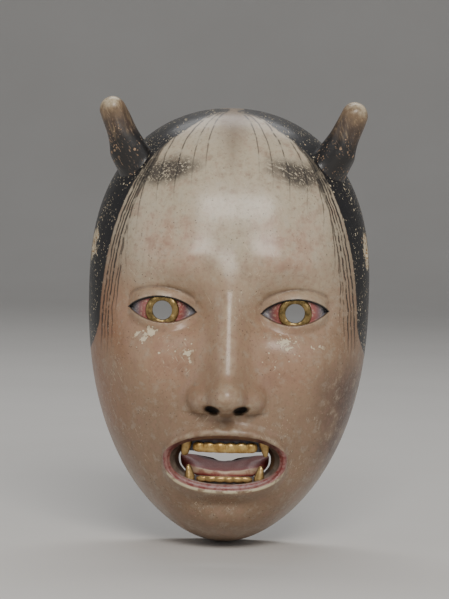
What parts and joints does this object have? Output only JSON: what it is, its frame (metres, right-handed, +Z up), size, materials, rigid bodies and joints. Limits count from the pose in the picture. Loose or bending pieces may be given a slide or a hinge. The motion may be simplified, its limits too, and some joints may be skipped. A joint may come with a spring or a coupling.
{
  "type": "horned theatre mask",
  "caption": "Carved wooden face mask, open behind, with painted hair, short pegged horns, metal eye rings, gilt teeth and fangs, a tongue and holes for tying cords.",
  "frame": {"origin": "the middle of the space that the wearer's face fills, on the plane of the back rim, halfway up between the chin and the crown", "axes": "+Z up towards the crown, the face looks along -Y, +X to the right of someone who looks at the face; the back rim lies on the plane Y = 0"},
  "size_m": [0.136, 0.0815, 0.2137],
  "materials": {
    "painted_wood": "aged glossy gesso and lacquer over cypress",
    "horn_paint": "worn dark lacquer with pale tips",
    "bare_wood": "bare cypress",
    "eye_brass": "dark gilt brass",
    "gilt": "worn gilding on thin metal",
    "tarnished_gilt": "tarnished gilding on wood",
    "red_paint": "red lacquer on wood"
  },
  "bodies": {
    "root": {"face_shell": "painted_wood", "left_horn": "horn_paint", "right_horn": "horn_paint", "left_horn_peg": "bare_wood", "right_horn_peg": "bare_wood", "left_eye_ring": "eye_brass", "right_eye_ring": "eye_brass", "upper_teeth": "gilt", "lower_teeth": "gilt", "upper_left_fang": "tarnished_gilt", "upper_right_fang": "tarnished_gilt", "lower_left_fang": "tarnished_gilt", "lower_right_fang": "tarnished_gilt", "tongue": "red_paint"}
  },
  "joints": []
}
